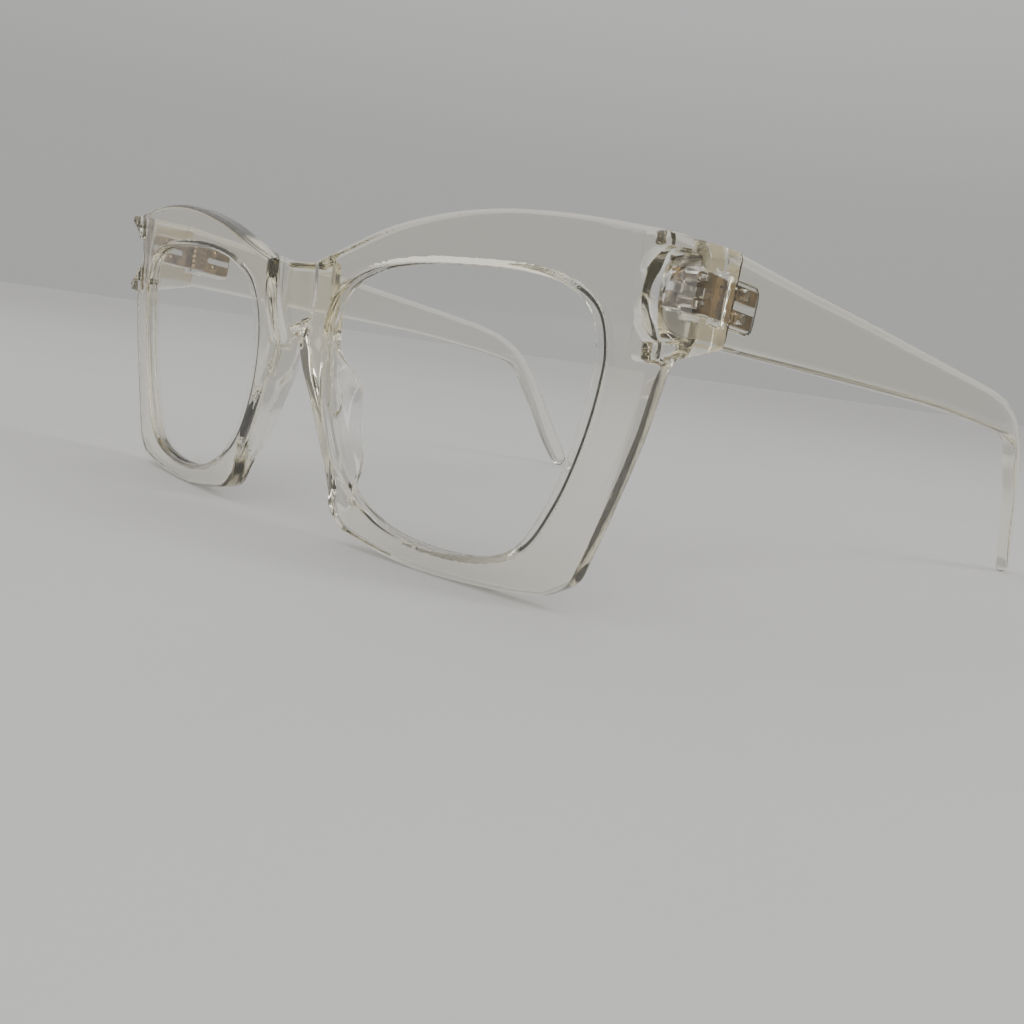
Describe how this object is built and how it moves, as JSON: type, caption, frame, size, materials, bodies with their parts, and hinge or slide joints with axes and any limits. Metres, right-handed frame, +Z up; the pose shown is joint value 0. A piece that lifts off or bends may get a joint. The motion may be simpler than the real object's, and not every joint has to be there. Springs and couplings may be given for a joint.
{
  "type": "eyeglasses",
  "caption": "Clear plastic eyeglasses with an upswept square front, moulded nose pads, clear lenses and two temples that fold on small riveted metal hinges.",
  "frame": {"origin": "on the surface that the opened glasses stand on, midway between the temples and midway from the front to the temple tips", "axes": "+X towards the wearer's left, -Y the way the wearer looks, +Z up"},
  "size_m": [0.1434, 0.1476, 0.0512],
  "materials": {
    "clear_plastic": "tumble-polished clear cellulose acetate with a faint straw tint that shows along its edges",
    "lens_plastic": "polished colourless plastic lens",
    "hinge_metal": "satin nickel silver, slightly warm",
    "screw_steel": "bright turned steel"
  },
  "bodies": {
    "front": {"front_frame": "clear_plastic", "lens_left": "lens_plastic", "lens_right": "lens_plastic", "front_hinge_leaf_left": "hinge_metal", "front_hinge_leaf_right": "hinge_metal", "hinge_screw_left": "screw_steel", "hinge_screw_right": "screw_steel", "front_rivet_lower_left": "hinge_metal", "front_rivet_upper_left": "hinge_metal", "front_rivet_lower_right": "hinge_metal", "front_rivet_upper_right": "hinge_metal"},
    "temple_left": {"temple_left": "clear_plastic", "temple_hinge_leaf_left": "hinge_metal", "temple_rivet_lower_left": "hinge_metal", "temple_rivet_upper_left": "hinge_metal"},
    "temple_right": {"temple_right": "clear_plastic", "temple_hinge_leaf_right": "hinge_metal", "temple_rivet_lower_right": "hinge_metal", "temple_rivet_upper_right": "hinge_metal"}
  },
  "joints": [
    {"name": "temple_left_fold", "type": "hinge", "parent": "front", "child": "temple_left", "pos_m": [0.0643, -0.05441, 0.0429], "axis": [0, 0.0824, 0.9966], "range_deg": [0, 92]},
    {"name": "temple_right_fold", "type": "hinge", "parent": "front", "child": "temple_right", "pos_m": [-0.0643, -0.05441, 0.0429], "axis": [0, -0.0824, -0.9966], "range_deg": [0, 84]}
  ]
}
